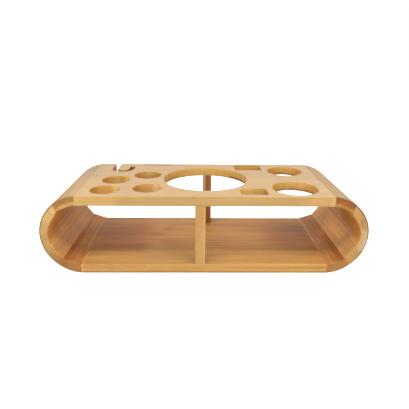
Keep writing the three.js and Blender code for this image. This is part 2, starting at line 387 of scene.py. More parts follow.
class Graph:
    def __init__(self, tree):
        self.tree = tree
        tree.nodes.clear()

    def add_node(self, kind, inputs=(), **settings):
        node = self.tree.nodes.new(kind)
        for key, setting in settings.items():
            setattr(node, key, setting)
        for key, value in dict(inputs).items():
            socket = node.inputs[key]
            if isinstance(value, Value):
                self.tree.links.new(value.socket, socket)
            else:
                socket.default_value = (*value, 1.0) if socket.type == "RGBA" else value
        return node

    def node(self, kind, inputs=(), output=0, **settings):
        return Value(self, self.add_node(kind, inputs, **settings).outputs[output])

    def split(self, kind, vector):
        """All the outputs of a node fed with one vector or colour."""
        return [Value(self, socket) for socket in self.add_node(kind, {0: vector}).outputs]

    def math(self, operation, *values):
        return self.node("ShaderNodeMath", dict(enumerate(values)), operation=operation)

    def limited(self, value):
        return self.math("MINIMUM", self.math("MAXIMUM", value, 0.0), 1.0)

    def xyz(self, *values):
        return self.node("ShaderNodeCombineXYZ", dict(enumerate(values)))

    def noise(self, point, detail=2.0, rough=0.5):
        return self.node("ShaderNodeTexNoise", {
            "Vector": self.xyz(*point), "Scale": 1.0, "Detail": detail, "Roughness": rough})

    def ramp(self, value, start, end, low=0.0, high=1.0):
        """Eases from low to high as the value goes from start to end."""
        return self.node("ShaderNodeMapRange", {
            "Value": value, "From Min": start, "From Max": end, "To Min": low, "To Max": high,
        }, "Result", interpolation_type="SMOOTHSTEP")

    def mix(self, factor, a, b, blend="MIX"):
        return self.node("ShaderNodeMix", {"Factor": factor, 6: a, 7: b}, 2,
                         data_type="RGBA", blend_type=blend)

    def multiplied(self, colour, by):
        return self.mix(1.0, colour, by, "MULTIPLY")


def new_material(name):
    material = bpy.data.materials.new(name)
    material.use_nodes = True
    return material


def srgb(*levels):
    """A linear colour from 8-bit levels."""
    parts = [level / 255 for level in levels]
    return tuple(c / 12.92 if c <= 0.04045 else ((c + 0.055) / 1.055) ** 2.4 for c in parts)


def scaled(values, by):
    return tuple(min(1.0, v * by) for v in values)


def stretched(point, scales):
    return [v * scale for v, scale in zip(point, scales)]


def tint(red, green, blue, strength=1.0, only=None, soft=1.0, warp=0.0, **box):
    """A soft local colour change. x, y, z limit it to a box and r to a band of radii round an
    end's centre; only limits it to some faces; soft is half its fade and warp strays its border."""
    return {"colour": (red, green, blue), "strength": strength, "only": only,
            "soft": soft, "warp": warp, "box": box}


# ------------------------------------------------------------------ laminated bamboo
KNOT_SPACING = 300.0
BAMBOO_DEFAULTS = {
    "phase": (0.0, 0.0),   # shift of the strips and of the layers, as shares of one
    "knot": 0.5,           # strength of the culm's nodes
    "strip_change": 0.35,  # difference in tone between strips
    "streak": 1.0,         # strength of the fibres
    "mottle": 0.5,         # strength of the blotches
    "joint_line": 1.0,     # strength of the glue lines' colour
    "worn": 1.0,           # how much painted shade darkens the outer rims
    "burnt": 0.0,          # how much the outer rims are darkened
    "rough": 0.46,
    "coat": 0.12,
    "spec": 0.5,
    "zones": (),
}


class Bamboo(Graph):
    """grain is the axis the fibres run along, across the axis the strips sit side by side on;
    strip and layer are the strip's width and thickness. Colours are 8-bit."""

    def __init__(self, name, **choices):
        self.material = new_material(name)
        super().__init__(self.material.node_tree)
        vars(self).update({**BAMBOO_DEFAULTS, **choices})
        for key in ("light", "dark", "end_light", "end_dark"):
            setattr(self, key, srgb(*choices[key]))
        self.lay_strips()
        self.place_knots()
        self.draw_fibres()
        colour = self.long_colour()
        end_colour = self.end_colour()
        self.find_faces()
        colour = self.mix(self.is_end, colour, end_colour)
        colour = self.glue_lines(colour)
        colour = self.tint_zones(colour)
        self.finish_surface(self.wear_edges_and_shade_rims(colour))

    def lay_strips(self):
        coordinates = self.node("ShaderNodeTexCoord", output="Object")
        self.point = [v * 1000.0 for v in self.split("ShaderNodeSeparateXYZ", coordinates)]
        self.axes = dict(zip("XYZ", self.point))
        other = next(a for a in "XYZ" if a not in (self.grain, self.across))
        self.length, self.width, self.depth = [
            self.axes[a] for a in (self.grain, self.across, other)]
        self.body = self.length, self.width, self.depth
        # a slow wander keeps the strips from looking ruled
        wander = self.noise((self.length * 0.006, self.width * 0.03, self.seed), detail=1.0)
        strips = (self.width + (wander - 0.5) * 0.7) / self.strip + self.phase[0]
        layers = self.depth / self.layer + self.phase[1]
        layer_index = self.math("FLOOR", layers)
        # layers are laid like brickwork, so each shifts its strips
        shift, _ = self.split("ShaderNodeTexWhiteNoise", self.xyz(layer_index, self.seed, 3.3))
        strips += shift * 0.7
        strip_index = self.math("FLOOR", strips)
        self.strip_tone, colour = self.split(
            "ShaderNodeTexWhiteNoise", self.xyz(strip_index, layer_index, self.seed))
        # three more random numbers for each strip
        self.random_lean, self.random_shift, self.random_bend = self.split(
            "ShaderNodeSeparateColor", colour)
        self.strip_part = self.math("FRACT", strips)
        self.layer_part = self.math("FRACT", layers)

    def place_knots(self):
        """The culm's nodes: once or so on each strip."""
        along = self.math("FRACT", self.length / KNOT_SPACING + self.random_lean * 7.13)
        distance = abs(along - 0.5) * KNOT_SPACING
        wobble = self.noise((self.width * 0.55, self.depth * 0.55, self.random_shift * 9.0))
        distance += (wobble - 0.5) * 3.0
        self.knot_line = self.ramp(distance, 1.5, 0.2)
        self.knot_soft = self.ramp(distance, 8.0, 1.0)
        # fibres bend round the knot
        self.bow = self.ramp(distance, 14.0, 0.0) * ((self.random_bend - 0.5) * 1.6)

    def fibre_noise(self, lengthwise, crosswise, detail, rough):
        """Noise along the fibres, its scales in cycles for each millimetre."""
        return self.noise(stretched(self.fibre, (lengthwise, crosswise, crosswise)), detail, rough)

    def draw_fibres(self):
        """Fibres, from broad streaks down to single bundles."""
        shift = self.random_shift * 37.0
        self.fibre = (self.length, self.width + self.bow + shift,
                      self.depth + self.random_bend * 19.0)
        self.broad = self.fibre_noise(0.0075, 0.22, detail=2.0, rough=0.55)
        self.mid = self.fibre_noise(0.02, 0.85, detail=3.0, rough=0.6)
        self.fine = self.fibre_noise(0.07, 3.6, detail=3.0, rough=0.65)
        self.ribs = self.fibre_noise(0.010, 0.44, detail=2.0, rough=0.6)
        self.bundles = self.ramp(self.fibre_noise(0.045, 2.3, detail=1.0, rough=0.5), 0.60, 0.74)
        # blotches that ignore the strips, a few centimetres long
        self.blotch = self.noise(
            (self.length * 0.028, self.width * 0.085 + self.seed * 1.7, self.depth * 0.085), 3.0, 0.6)

    def long_colour(self):
        tone = 0.5 + (self.strip_tone - 0.5) * self.strip_change
        for pattern, share in (
            (self.broad, 0.9 * self.streak), (self.mid, 0.62 * self.streak),
            (self.fine, 0.40 * self.streak), (self.ribs, 0.70 * self.streak),
            (self.blotch, self.mottle),
        ):
            tone += (pattern - 0.5) * share
        tone = self.limited(tone - self.bundles * (0.10 * self.streak))
        colour = self.mix(tone, self.dark, self.light)
        # each strip leans a little to red
        colour = self.mix(self.random_lean * 0.16, colour, self.multiplied(colour, (1.0, 0.86, 0.72)))
        # a knot is pale, specked and crossed by a dark line
        colour = self.mix(self.knot_soft * (0.22 * self.knot), colour, scaled(self.light, 1.10))
        speck = self.ramp(self.noise(stretched(self.body, (0.5, 0.9, 0.9))), 0.50, 0.72)
        colour = self.mix(self.knot_soft * speck * (0.30 * self.knot), colour,
                          scaled(self.dark, 0.76))
        return self.mix(self.knot_line * (0.38 * self.knot), colour, scaled(self.dark, 0.66))

    def end_colour(self):
        """End grain: dots of the cut bundles, larger towards one side of every strip."""
        length, width, depth = self.fibre
        distance = self.node("ShaderNodeTexVoronoi", {
            "Vector": self.xyz(width * 1.45, depth * 1.45, length * 0.01), "Scale": 1.0}, "Distance")
        size = 0.24 + self.layer_part * 0.20
        self.dots = self.ramp(distance - size, 0.10, -0.06)
        tone = (self.strip_tone - 0.5) * 0.5 + 0.58 + (self.broad - 0.5) * 0.7 - self.dots * 0.30
        return self.mix(self.limited(tone), self.end_dark, self.end_light)

    def find_faces(self):
        normal = self.node("ShaderNodeNewGeometry", output="True Normal")
        self.normal = dict(zip("XYZ", self.split("ShaderNodeSeparateXYZ", normal)))
        self.is_end = self.ramp(abs(self.normal[self.grain]), 0.45, 0.85)

    def glue_lines(self, colour):
        """Lines between strips and between layers."""
        beside = (0.5 - abs(self.strip_part - 0.5)) * self.strip
        between = (0.5 - abs(self.layer_part - 0.5)) * self.layer
        self.line = self.ramp(self.math("MINIMUM", beside, between), 0.20, 0.05)
        return self.mix(self.line * (0.26 * self.joint_line), colour, scaled(self.dark, 0.62))

    def end_radius(self):
        dx = abs(self.axes["X"]) - END_CX
        dz = self.axes["Z"] - END_CZ
        return self.math("SQRT", dx * dx + dz * dz)

    def face_mask(self, only):
        if only == "long":
            return 1.0 - self.is_end
        if only == "up":
            return self.ramp(self.normal["Z"], 0.55, 0.9)
        if only == "front":
            return self.ramp(self.normal["Y"], -0.55, -0.9)
        if only == "inner_wall":
            return (self.ramp(abs(self.normal["Z"]), 0.6, 0.2)
                    * self.ramp(abs(self.axes["Y"]), HALF_DEPTH - 0.7, HALF_DEPTH - 1.2))
        # inside faces look towards the middle of the caddy, outside faces away from it
        fade = 0.1 if only == "inside" else -0.1
        return (1.0 - self.is_end) * self.ramp(
            self.math("SIGN", self.axes["X"]) * self.normal["X"], fade, -fade)

    def tint_zones(self, colour):
        axes = dict(self.axes)
        if any("r" in zone["box"] for zone in self.zones):
            axes["R"] = self.end_radius()
        if any(zone["warp"] for zone in self.zones):
            stray = self.noise(stretched(self.body, (0.016, 0.20, 0.20)), 3.0, 0.6)
        for zone in self.zones:
            masks = []
            for axis, (low, high) in zone["box"].items():
                distance = abs(axes[axis.upper()] - (low + high) / 2)
                if zone["warp"]:
                    distance += (stray - 0.5) * zone["warp"]
                half = (high - low) / 2
                masks.append(self.ramp(distance, half + zone["soft"], half - zone["soft"]))
            if zone["only"]:
                masks.append(self.face_mask(zone["only"]))
            mask = masks[0]
            for further in masks[1:]:
                mask *= further
            colour = self.mix(mask * zone["strength"], colour, zone["colour"], "MULTIPLY")
        return colour

    def wear_edges_and_shade_rims(self, colour):
        """Worn arrises, patchily paler, and outer rims that painted shade may darken."""
        edge = self.node("ShaderNodeAttribute", output="Fac",
                         attribute_name="edge", attribute_type="GEOMETRY")
        patch = self.noise(stretched(self.point, [0.11] * 3), 3.0, 0.6)
        self.wear = edge * self.ramp(patch, 0.38, 0.66, low=0.12, high=0.62)
        worn = self.worn
        # painted shade on the rounded outer rims of the ends
        if self.burnt:
            outside = self.ramp(self.end_radius(), 37.0, 39.5)
            rim = self.math("MINIMUM", edge * outside * (2.4 * self.burnt), 1.0)
            colour = self.mix(rim, colour, self.multiplied(colour, (0.54, 0.51, 0.50)))
            worn = worn * (1.0 - outside)
        colour = self.mix(self.wear * worn, colour, self.mix(0.5, colour, scaled(self.light, 1.18)))
        # faint handling marks over everything
        self.smudge = self.noise(stretched(self.point, [0.022] * 3), 3.0, 0.55)
        return self.mix(self.ramp(self.smudge, 0.35, 0.7, high=0.12), colour,
                        self.multiplied(colour, (0.90, 0.84, 0.76)))

    def finish_surface(self, colour):
        rough = (self.rough + (self.mid - 0.5) * 0.16 + (self.smudge - 0.5) * 0.14
                 + self.line * 0.10 + self.wear * 0.12 + self.is_end * 0.10)
        height = (self.fine * 0.35 + self.mid * 0.45 - self.bundles * 0.35 - self.line * 1.3
                  + self.knot_soft * (0.4 * self.knot) - self.knot_line * (0.6 * self.knot)
                  - self.dots * self.is_end * 0.8)
        bump = self.node("ShaderNodeBump", {"Strength": 0.55, "Distance": 0.00006, "Height": height})
        shader = self.node("ShaderNodeBsdfPrincipled", {
            "Base Color": colour, "Roughness": rough, "Normal": bump, "IOR": 1.46,
            "Specular IOR Level": self.spec, "Coat Weight": self.coat, "Coat Roughness": 0.28})
        self.add_node("ShaderNodeOutputMaterial", {0: shader})


# ------------------------------------------------------------------ bamboo for each piece
MATERIALS = {}


def bamboo(name, **choices):
    MATERIALS[name] = Bamboo(name, **choices).material


# top board
bamboo(
    "bamboo_top_board", grain="X", across="Y", strip=6.4, layer=4.8, seed=1.0,
    light=(187, 153, 101), dark=(165, 131, 79), end_light=(190, 150, 88), end_dark=(168, 122, 64),
    strip_change=0.30, streak=0.9, zones=[
        tint(1.00, 1.00, 0.86, only="front"),
        tint(1.06, 1.02, 0.78, only="inner_wall"),
        tint(1.14, 1.14, 1.10, only="inner_wall", x=(-47, 49), y=(-47, 48)),
        tint(1.15, 1.15, 1.06, only="front", x=(-140, -88), soft=8),
        tint(1.10, 1.06, 1.04, only="front", x=(102, 140), soft=3),
        tint(1.10, 1.10, 1.14, only="front", x=(121.5, 128), soft=0.5),
        tint(0.86, 0.86, 0.80, y=(-66, -64.0), z=(72.0, 74.4), soft=0.8),
        tint(1.05, 1.02, 0.98, only="front", z=(78.5, 82.0), soft=1.0),
        tint(0.95, 0.93, 0.97, only="up", y=(4, 70), soft=16.0),
        tint(0.88, 0.89, 0.97, only="up", y=(60, 68), soft=2.5),
        tint(0.90, 0.92, 0.99, only="up", x=(-140, -120), y=(-4, 70), soft=5.0),
        tint(0.94, 0.93, 1.00, only="up", x=(-92, -70), y=(-70, -24), soft=6.0),
        tint(0.90, 0.88, 0.84, only="inner_wall", x=(-80, -48), y=(-4, 28), soft=1.0),
        tint(1.08, 1.03, 1.00, only="inner_wall", x=(70, 116), y=(20, 60), soft=1.0),
        tint(1.00, 1.11, 1.24, only="inner_wall", x=(28, 49), y=(-24, 48), soft=5.0),
        # the small holes' walls: painted shade over their left parts, painted light on their right
        # thirds
        tint(0.90, 0.78, 0.66, only="inner_wall", x=(-118, -98.5), y=(-60, -26), soft=2.0, warp=3.0),
        tint(1.28, 1.50, 2.10, only="inner_wall", x=(-96, -84), y=(-60, -26), soft=2.0, warp=3.0),
        tint(0.84, 0.76, 0.76, only="inner_wall", x=(-114, -90), y=(-24, 10), soft=4.0, warp=4.0),
        tint(1.40, 1.52, 1.75, only="inner_wall", x=(-89, -80), y=(-24, 10), soft=2.5, warp=3.0),
        tint(0.92, 0.80, 0.72, only="inner_wall", x=(-80, -57), y=(-54, -20), soft=3.0, warp=3.0),
        tint(1.26, 1.46, 2.15, only="inner_wall", x=(-54, -42), y=(-54, -20), soft=3.0, warp=3.0),
        # painted shade darkens the walls of the hook slot and of the narrow slot at the back
        tint(0.55, 0.44, 0.34, only="inner_wall", x=(-112, -80), y=(26, 58), soft=2.0, warp=4.0),
        tint(0.60, 0.48, 0.36, only="inner_wall", x=(-77, -39), y=(57, 63), soft=1.0),
        tint(1.20, 0.86, 0.10, only="inner_wall", x=(-113, -103), y=(24, 70), soft=1.0),
        tint(0.92, 0.94, 1.14, only="inner_wall", x=(-47, -20), y=(-47, 48), soft=4.0),
        # painted shade along the lower part of the slot walls
        tint(0.62, 0.50, 0.40, only="inner_wall", x=(30, 75), z=(72.5, 76.0), soft=0.5, strength=0.95),
        tint(1.05, 1.03, 1.06, only="inner_wall", x=(104, 118), soft=3.0, warp=3.0),
        tint(1.14, 1.16, 1.20, only="inner_wall", z=(80.2, 84.0), soft=1.6),
        # painted shade along the lower parts of the cut walls, deepest in the holes on the right
        tint(0.86, 0.80, 0.72, only="inner_wall", z=(72.0, 75.4), soft=2.0),
        tint(0.84, 0.78, 0.70, only="inner_wall", z=(72.0, 76.0), x=(66, 122), soft=1.6),
        tint(0.78, 0.70, 0.60, only="inner_wall", z=(72.0, 75.4), x=(92, 122), soft=1.0),
    ])

# bottom board
bamboo(
    "bamboo_bottom_board", grain="X", across="Y", strip=6.4, layer=4.35, seed=2.0,
    light=(194, 145, 76), dark=(164, 116, 56), end_light=(184, 140, 76), end_dark=(160, 110, 52),
    strip_change=0.24, streak=1.5, coat=0.0, spec=0.38, rough=0.56, mottle=0.6, zones=[
        tint(1.22, 1.34, 1.56, only="front"),
        # painted shade along the lower edge of the front
        tint(0.74, 0.74, 0.68, y=(-66, -63.5), z=(-1.0, 2.4), soft=0.9),
        tint(0.86, 0.86, 0.80, only="front", z=(-1.0, 3.2), soft=1.0),
        tint(1.20, 1.22, 1.28, x=(124.9, 127.0), y=(-60, 70), soft=0.5, strength=0.7),
        tint(1.34, 1.36, 1.44, x=(-127.0, -124.6), y=(-66, -36), soft=0.7),
        # painted shade darkens the floor towards both ends
        tint(0.87, 0.70, 0.66, only="up", y=(-32, 38), x=(-124, -62), soft=13.0, warp=18.0),
        tint(0.80, 0.62, 0.62, only="up", y=(-20, 40), x=(78, 132), soft=19.0, warp=20.0),
        tint(0.92, 0.84, 0.70, only="up", y=(-36, -20), x=(88, 132), soft=9.0, warp=10.0),
        # painted light on the middle of the floor behind the front, under the big hole
        tint(1.12, 1.10, 1.08, only="up", y=(-40, -10), x=(-66, 66), soft=6.0, warp=5.0),
        tint(0.98, 1.00, 0.97, only="up", y=(-66, -42), soft=6.0, warp=4.0),
        tint(0.89, 0.93, 1.00, only="up", y=(-66, -46), x=(-64, 24), soft=9.0),
        tint(0.93, 1.00, 1.09, only="up", y=(-16, 18), x=(36, 72), soft=8.0, warp=6.0),
        tint(0.90, 0.97, 1.02, only="up", y=(34, 70), x=(-50, 50), soft=10.0),
        tint(1.02, 0.96, 0.98, only="up", y=(34, 70), soft=10.0, warp=10.0),
        tint(0.99, 0.92, 0.94, only="up", x=(-125, -66), y=(30, 70), soft=8.0, warp=8.0),
        tint(1.08, 1.03, 1.00, only="up", x=(60, 125), y=(42, 70), soft=8.0, warp=8.0),
        tint(1.06, 0.96, 0.97, only="up", y=(-24, 60), x=(-60, 90), soft=12.0, warp=18.0, strength=0.8),
        tint(0.86, 0.78, 0.74, only="up", y=(23, 33), x=(-50, -38), soft=3.0, warp=9.0),
        tint(0.88, 0.80, 0.76, only="up", y=(6, 14), x=(-64, -49), soft=3.0, warp=9.0),
        tint(0.92, 0.86, 0.84, only="up", y=(-12, -5), x=(-52, -30), soft=3.0, warp=8.0),
        tint(1.10, 1.10, 1.10, only="up", y=(12, 20), x=(-44, -24), soft=3.0, warp=9.0),
    ])

# top corners
bamboo(
    "bamboo_left_top_corner", grain="Y", across="X", strip=9.5, layer=5.0, seed=11.0,
    light=(178, 142, 88), dark=(150, 113, 62), end_light=(172, 130, 68), end_dark=(150, 106, 48),
    strip_change=0.5, coat=0.0, spec=0.42, burnt=0.3, zones=[
        tint(0.84, 0.77, 0.66, only="front", r=(36.2, 44), soft=0.7, warp=1.5),
        tint(1.34, 1.42, 1.68, only="front", r=(26, 35.5), soft=0.7, warp=1.5),
        tint(0.86, 0.76, 0.56, only="long", r=(26, 39)),
        tint(0.83, 0.86, 0.96, only="up", y=(14, 70), soft=12.0),
        tint(0.86, 0.89, 0.98, only="up", y=(57, 70), soft=4.0),
    ])
bamboo(
    "bamboo_right_top_corner", grain="Y", across="X", strip=9.5, layer=5.0, seed=17.0,
    light=(166, 130, 76), dark=(142, 106, 54), end_light=(158, 99, 30), end_dark=(132, 73, 14),
    strip_change=0.6, streak=1.2, coat=0.0, spec=0.42, burnt=0.5, zones=[
        tint(1.5, 2.1, 4.2, only="front", r=(26, 35.2), soft=0.5, warp=1.0, strength=0.7),
        tint(0.80, 0.70, 0.60, only="front", r=(38.2, 44), soft=1.2, warp=1.5),
        tint(0.86, 0.76, 0.56, only="long", r=(26, 39)),
        tint(0.86, 0.89, 1.00, only="up", y=(50, 70), soft=8.0),
    ])

# bottom corners: each has its own zones, then those both share
LEFT_BOTTOM_ZONES = [
    tint(1.30, 1.44, 1.60, only="up", x=(-130, -125), y=(-60, -50), soft=2.5, warp=8.0, strength=0.8),
    tint(0.92, 0.84, 0.76, only="up", x=(-136, -128), y=(-46, -24), soft=3.0, warp=12.0),
    tint(0.92, 1.06, 1.22, only="up", x=(-137, -124), y=(-30, 50), soft=6.0, warp=6.0),
    tint(1.14, 1.10, 1.06, only="up", x=(-137, -124), y=(30, 70), soft=8.0),
]
RIGHT_BOTTOM_ZONES = [
    tint(1.28, 1.46, 1.84, x=(125.4, 127.3), y=(-64.6, 70), soft=0.5, strength=0.85),
    tint(1.12, 1.24, 1.44, only="up", x=(131.4, 132.6), y=(-58, 70), soft=0.7, warp=1.6, strength=0.8),
    tint(0.94, 1.06, 1.20, only="up", x=(124, 137), y=(-36, 60), soft=6.0, warp=6.0),
    tint(1.14, 1.18, 1.10, only="up", x=(125, 141), y=(-70, -44), soft=6.0, warp=10.0),
    tint(1.10, 1.20, 1.30, only="front"),
]
for side_name, seed, own_zones, crease_x, top_x in (
    ("left", 12.0, LEFT_BOTTOM_ZONES, (-145, -137), (-146, -134)),
    ("right", 18.0, RIGHT_BOTTOM_ZONES, (137, 145), (134, 146)),
):
    bamboo(
        "bamboo_" + side_name + "_bottom_corner", grain="Y", across="X", strip=4.8, layer=5.0,
        seed=seed, light=(184, 122, 62), dark=(146, 88, 38), end_light=(170, 116, 58),
        end_dark=(138, 90, 38), strip_change=0.45, streak=1.5, coat=0.0, spec=0.38, rough=0.56,
        burnt=0.6, mottle=0.8, zones=own_zones + [
            tint(0.95, 1.24, 1.70, only="long", r=(38, 44), soft=0.5),
            tint(0.76, 0.72, 0.70, only="front", r=(40.3, 44), soft=0.7),
            tint(1.26, 1.26, 1.20, only="up", y=(-34, 70), soft=10.0, warp=10.0),
            tint(0.86, 0.84, 0.74, only="up", y=(-70, -44), soft=10.0, warp=10.0),
            # painted shade in the crease where the slope meets the side block
            tint(0.90, 0.70, 0.38, only="up", x=crease_x, soft=2.5, warp=4.0, y=(-66, 2)),
            tint(0.94, 1.05, 1.04, only="up", x=top_x, soft=3.0, warp=4.0, y=(-70, -16)),
        ])

# side blocks
bamboo(
    "bamboo_left_side", grain="Y", across="Z", strip=6.6, layer=4.2, seed=13.0,
    light=(210, 152, 74), dark=(180, 121, 48), end_light=(192, 156, 98), end_dark=(172, 132, 74),
    knot=0.15, streak=1.5, coat=0.03, spec=0.4, rough=0.52, burnt=0.8, worn=0.3, mottle=0.6, zones=[
        tint(0.92, 0.88, 0.80, only="front", z=(22, 45), soft=8.0, warp=4.0),
        tint(0.80, 0.70, 0.57, only="front", z=(-5, 24), soft=7.0, warp=4.0),
        tint(0.88, 0.79, 0.66, only="front", z=(-5, 20), soft=6.0, warp=4.0),
        tint(1.14, 1.24, 1.34, only="front", z=(56, 80), soft=6.0),
        tint(1.02, 0.95, 0.84, only="inside", y=(-70, 30), z=(40, 80), soft=10.0, warp=8.0),
        tint(1.00, 0.86, 0.55, only="inside", y=(-24, 24), z=(25, 44), soft=6.0, warp=6.0),
        tint(1.05, 1.01, 0.98, only="inside", y=(10, 70), soft=10.0, warp=8.0),
        tint(0.86, 0.84, 0.80, only="inside", y=(-70, -46), z=(0, 30), soft=8.0, warp=12.0),
        tint(0.94, 0.84, 0.62, only="inside", x=(-157.5, -153), y=(-70, -34), soft=6.0, warp=12.0),
        tint(0.80, 0.95, 1.50, only="outside"),
    ])
bamboo(
    "bamboo_right_side", grain="Y", across="Z", strip=6.6, layer=4.2, seed=19.0,
    light=(218, 166, 90), dark=(184, 132, 60), end_light=(190, 153, 104), end_dark=(168, 127, 74),
    knot=0.15, strip_change=0.40, streak=1.6, coat=0.03, spec=0.4, rough=0.52, burnt=0.9,
    worn=0.4, mottle=0.08, zones=[
        tint(0.98, 0.89, 0.68, only="front", z=(58, 67), soft=1.5, warp=2.0),
        tint(0.84, 0.72, 0.52, only="front", z=(49, 60), r=(34.0, 38.0), soft=1.2, warp=3.0),
        tint(1.06, 1.23, 1.68, only="front", z=(28, 48), soft=5.0, warp=4.0),
        tint(0.90, 0.84, 0.64, only="front", z=(-5, 24), soft=6.0, warp=4.0),
        tint(0.83, 0.67, 0.38, only="inside", y=(-66, -6), soft=9.0, warp=18.0, z=(34, 58)),
        tint(1.03, 0.98, 0.96, only="inside"),
        tint(1.18, 1.16, 1.12, only="inside", y=(-34, 30), soft=6.0, warp=4.0, z=(22, 36)),
        tint(0.88, 0.91, 0.93, only="inside", y=(-62, -36), z=(16, 29), soft=4.0),
        tint(1.10, 1.10, 1.06, only="inside", y=(-50, 20), soft=3.0, warp=12.0, z=(22, 31)),
        tint(0.86, 0.84, 0.78, only="inside", y=(-70, -50), z=(0, 28), soft=8.0, warp=5.0),
        tint(1.05, 1.06, 1.01, only="inside", y=(-6, 70), soft=10.0, warp=12.0),
        tint(0.76, 0.85, 1.16, only="outside"),
    ])

# posts
bamboo(
    "bamboo_front_post", grain="Z", across="X", strip=3.4, layer=9.0, seed=31.0,
    light=(195, 154, 88), dark=(172, 129, 66), end_light=(184, 140, 76), end_dark=(160, 110, 52),
    phase=(0.42, 0.0), strip_change=0.4, streak=0.8, spec=0.4, zones=[
        tint(0.94, 0.90, 0.96, x=(-10.4, -6.4), soft=0.4),
        tint(1.02, 1.06, 1.16, x=(-2.6, 0.6), soft=0.4),
    ])
bamboo(
    "bamboo_rear_post", grain="Z", across="X", strip=3.3, layer=9.0, seed=37.0,
    light=(158, 98, 48), dark=(128, 72, 28), end_light=(180, 138, 74), end_dark=(158, 108, 50),
    strip_change=0.3, streak=0.8, spec=0.3, zones=[
        tint(1.5, 3.1, 7.0, x=(-1.4, 2.3), soft=0.5, strength=0.78),
    ])

# splines and dowels
for name, grain, seed in (("beech_joinery", "Y", 41.0), ("beech_joinery_upright", "Z", 43.0)):
    bamboo(
        name, grain=grain, across="X", strip=40.0, layer=40.0, seed=seed,
        light=(206, 172, 124), dark=(178, 140, 92), end_light=(196, 160, 112),
        end_dark=(164, 122, 76), knot=0.0, strip_change=0.2, streak=0.7, rough=0.68,
        joint_line=0.0, coat=0.0)


# ------------------------------------------------------------------ solids that cut hidden sockets
BOARD_SPLINES = {
    name: packed_box(name)
    for side in ("left", "right") for name in (side + "_top_board_spline", side + "_bottom_board_spline")
}


def cutter(points, low, high, plane):
    return prism("cutter", [loop(points)], low, high, 0.05, 0.05, plane,
                 segments=1, hold=0.05, step=500.0, grid=50.0)


def board_groove(node):
    low, high = BOARD_SPLINES[node]
    outline = rectangle(low[0] - PLAY, high[0] + PLAY, low[2] - PLAY, high[2] + PLAY)
    return cutter(outline, low[1] - PLAY, high[1] + PLAY, "XZ")


def dowel_size(low, high):
    return (low[0] + high[0]) / 2, (low[1] + high[1]) / 2, (high[0] - low[0]) / 2


def socket(node):
    low, high = packed_box(node)
    cx, cy, radius = dowel_size(low, high)
    return cutter(circle(cx, cy, radius + PLAY, 40), low[2] - PLAY, high[2] + PLAY, "XY")


def carve_board(piece, level):
    carve(piece, [board_groove("left_" + level + "_board_spline"),
                  board_groove("right_" + level + "_board_spline"),
                  socket("front_post_" + level + "_dowel"), socket("rear_post_" + level + "_dowel")])


# ------------------------------------------------------------------ boards
def hook_outline():
    """Round the hook-shaped slot, from its inner wall at the back edge to its outer wall there."""
    cx, cy = HOOK_CENTRE
    half = HOOK_W / 2
    return ([(cx - HOOK_R + half, HALF_DEPTH)]
            + arc(cx, cy, HOOK_R - half, PI, 2 * PI, 28)
            + arc(cx + HOOK_R, HOOK_END_Y, half, PI, 0, 16)
            + arc(cx, cy, HOOK_R + half, 2 * PI, PI, 44)
            + [(cx - HOOK_R - half, HALF_DEPTH)])


def top_board():
    x = TOP_JOINT - GAP
    outer = ([(-x, -HALF_DEPTH), (x, -HALF_DEPTH), (x, HALF_DEPTH)] + hook_outline()
             + [(-x, HALF_DEPTH)])
    shares = [1.0, BOARD_SHARE] + [1.0] * (len(outer) - 3) + [BOARD_SHARE]
    loops = [loop(outer, shares, 7.0)]
    loops += [loop(circle(*hole)[::-1]) for hole in ROUND_HOLES]
    loops += [loop(rectangle(*slot)[::-1], None, 7.0) for slot in SLOTS]
    piece = prism("top_board_plate", loops, TOP_UNDERSIDE, HEIGHT, 0.5, 0.6, step=4.0)
    carve_board(piece, "top")
    finish_piece(piece, "bamboo_top_board", "top_board")


def bottom_board():
    x = BOTTOM_JOINT - GAP
    outline = loop(rectangle(-x, x, -HALF_DEPTH, HALF_DEPTH), [1.0, BOARD_SHARE] * 2, 7.0)
    piece = prism("bottom_board_plate", [outline], 0.0, BOTTOM_T, 0.6, 0.6, step=4.0)
    carve_board(piece, "bottom")
    finish_piece(piece, "bamboo_bottom_board", "bottom_board")


top_board()
bottom_board()


# ------------------------------------------------------------------ outlines of the right-hand end
def on_outer(x, upper):
    rise = math.sqrt(max(END_R ** 2 - (x - END_CX) ** 2, 0.0))
    return (x, END_CZ + rise if upper else END_CZ - rise)


def outer_arc(start, end):
    """Points on the outer arc, two degrees apart or closer."""
    a0, a1 = [math.atan2(p[1] - END_CZ, p[0] - END_CX) for p in (start, end)]
    n = max(2, math.ceil(abs(a1 - a0) / math.radians(2.0)))
    return arc(END_CX, END_CZ, END_R, a0, a1, n)


def smooth_line(points, n):
    """A smooth curve through the points, n steps between each two."""
    out = []
    for i in range(len(points) - 1):
        p0 = points[max(i - 1, 0)]
        p1, p2 = points[i], points[i + 1]
        p3 = points[min(i + 2, len(points) - 1)]
        for k in range(n):
            t = k / n
            out.append(tuple(
                0.5 * (2 * p1[c] + (p2[c] - p0[c]) * t
                       + (2 * p0[c] - 5 * p1[c] + 4 * p2[c] - p3[c]) * t * t
                       + (3 * p1[c] - p0[c] - 3 * p2[c] + p3[c]) * t ** 3) for c in (0, 1)))
    return out + [tuple(points[-1])]


def joint(outer, inner):
    """Middle of a joint, its direction inwards and its normal."""
    dx, dz = inner[0] - outer[0], inner[1] - outer[1]
    n = math.hypot(dx, dz)
    middle = ((outer[0] + inner[0]) / 2, (outer[1] + inner[1]) / 2)
    return middle, (dx / n, dz / n), (-dz / n, dx / n)


UPPER_OUT, LOWER_OUT = on_outer(UPPER_JOINT_X, True), on_outer(LOWER_JOINT_X, False)
UPPER, LOWER = joint(UPPER_OUT, UPPER_CREASE), joint(LOWER_OUT, LOWER_CREASE)


def off(point, seam, distance):
    """The point moved along the joint's normal."""
    return (point[0] + seam[2][0] * distance, point[1] + seam[2][1] * distance)


